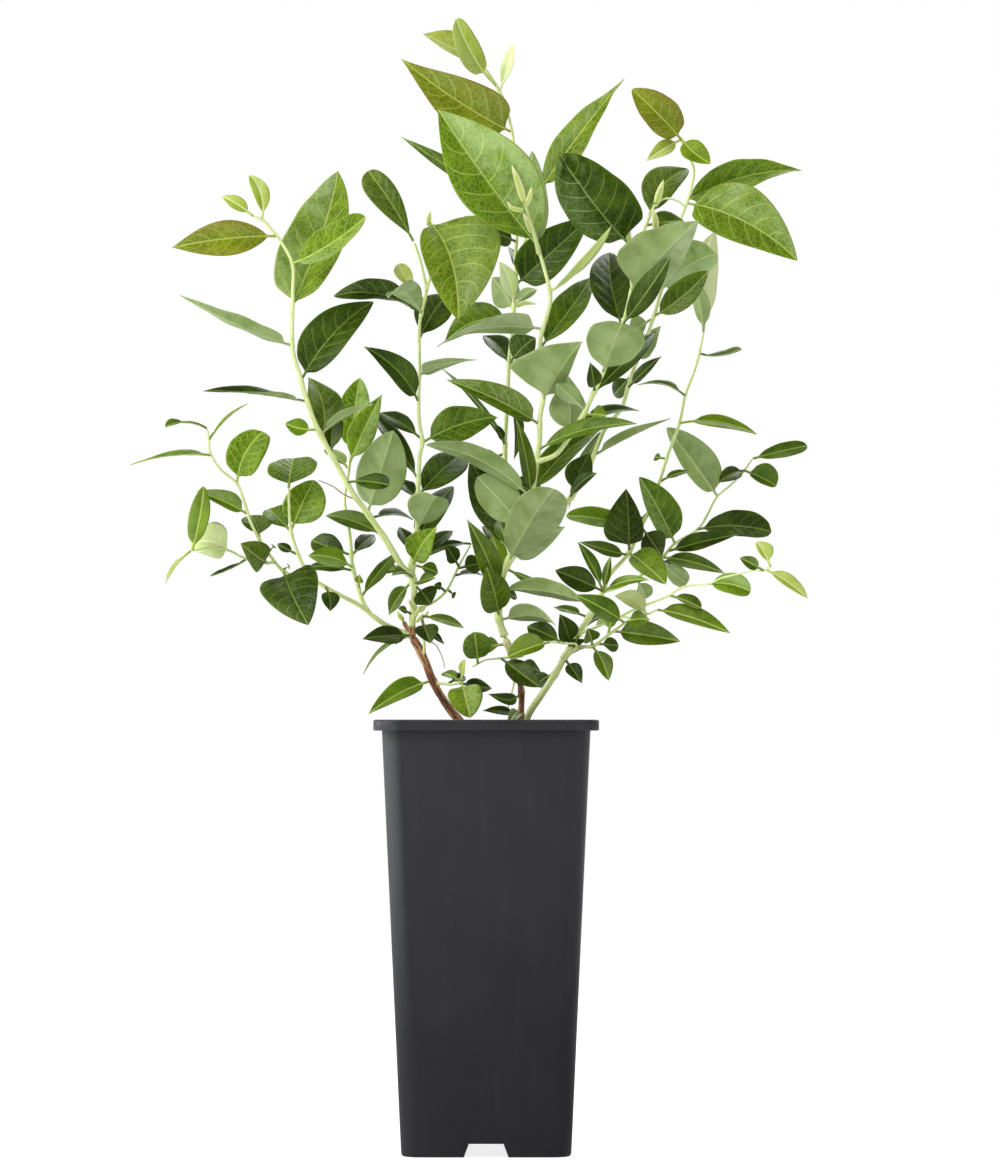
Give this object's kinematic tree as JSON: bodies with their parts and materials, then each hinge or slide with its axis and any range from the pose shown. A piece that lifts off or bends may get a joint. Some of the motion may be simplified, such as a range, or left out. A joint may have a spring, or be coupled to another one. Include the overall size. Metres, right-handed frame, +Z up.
{
  "type": "potted blueberry bush",
  "caption": "Young leafy shrub with slender canes and oval net-veined leaves, growing in a tall square tapered nursery pot filled with potting mix",
  "frame": {"origin": "on the floor, under the middle of the object and of its pot", "axes": "+Z up along the canes, -Y toward the front of the bush, +X to the right seen from the front"},
  "size_m": [0.3333, 0.2302, 0.562],
  "materials": {
    "pot_plastic": "satin charcoal, faintly mottled",
    "potting_mix": "crumbly dark peat and bark mix",
    "cane_bark": "thin reddish-brown bark turning to smooth green above",
    "green_stem": "smooth yellow-green young stem",
    "leaf_bright": "satin, netted veins",
    "leaf_mid": "satin, netted veins",
    "leaf_dark": "semi-gloss, netted veins",
    "leaf_lime": "soft satin young leaf",
    "leaf_pale": "matte pale underside",
    "leaf_young": "satin young leaf with a reddish edge",
    "leaf_under": "matte glaucous underside"
  },
  "bodies": {
    "root": {"cane_centre": "cane_bark", "cane_left": "cane_bark", "cane_right": "green_stem", "leader_back": "green_stem", "leader_left": "green_stem", "leader_right": "green_stem", "leaf_leader_back_01": "leaf_dark", "leaf_leader_back_08": "leaf_mid", "leaf_leader_back_10": "leaf_dark", "leaf_leader_back_15": "leaf_mid", "leaf_leader_back_16": "leaf_young", "leaf_leader_back_17": "leaf_lime", "leaf_leader_left_03": "leaf_under", "leaf_leader_left_08": "leaf_dark", "leaf_leader_left_11": "leaf_dark", "leaf_leader_left_12": "leaf_under", "leaf_leader_left_13": "leaf_bright", "leaf_leader_left_14": "leaf_bright", "leaf_leader_left_15": "leaf_young", "leaf_leader_right_09": "leaf_under", "leaf_leader_right_10": "leaf_bright", "leaf_leader_right_11": "leaf_bright", "leaf_leader_right_12": "leaf_young", "leaf_shoot_centre_04": "leaf_under", "leaf_shoot_centre_07": "leaf_under", "leaf_shoot_centre_09": "leaf_under", "leaf_shoot_centre_13": "leaf_mid", "leaf_shoot_centre_14": "leaf_under", "leaf_shoot_centre_15": "leaf_mid", "leaf_shoot_centre_16": "leaf_mid", "leaf_shoot_centre_17": "leaf_under", "leaf_shoot_centre_18": "leaf_mid", "leaf_shoot_centre_19": "leaf_under", "leaf_shoot_centre_21": "leaf_bright", "leaf_shoot_centre_22": "leaf_under", "leaf_shoot_left_inner_07": "leaf_bright", "leaf_shoot_left_low_01": "leaf_mid", "leaf_shoot_left_tall_05": "leaf_dark", "leaf_shoot_left_tall_07": "leaf_mid", "leaf_shoot_left_tall_10": "leaf_mid", "leaf_shoot_right_inner_04": "leaf_under", "leaf_shoot_right_inner_09": "leaf_dark", "leaf_shoot_right_inner_10": "leaf_under", "leaf_shoot_right_outer_01": "leaf_mid", "leaf_shoot_right_outer_04": "leaf_under", "leaf_shoot_right_thin_01": "leaf_pale", "leaf_shoot_right_thin_09": "leaf_dark", "leaf_spur_back_01": "leaf_bright", "leaf_spur_right_inner_01": "leaf_dark", "leaf_tip_left_tall_01": "leaf_bright", "leaf_twig_left_outer_01": "leaf_dark", "pot": "pot_plastic", "potting_soil": "potting_mix", "shoot_left_inner": "green_stem", "shoot_left_low": "green_stem", "shoot_right_inner": "green_stem", "shoot_right_low": "green_stem", "shoot_right_outer": "green_stem", "twig_left_outer": "green_stem", "twig_right_front": "green_stem"}
  },
  "joints": []
}
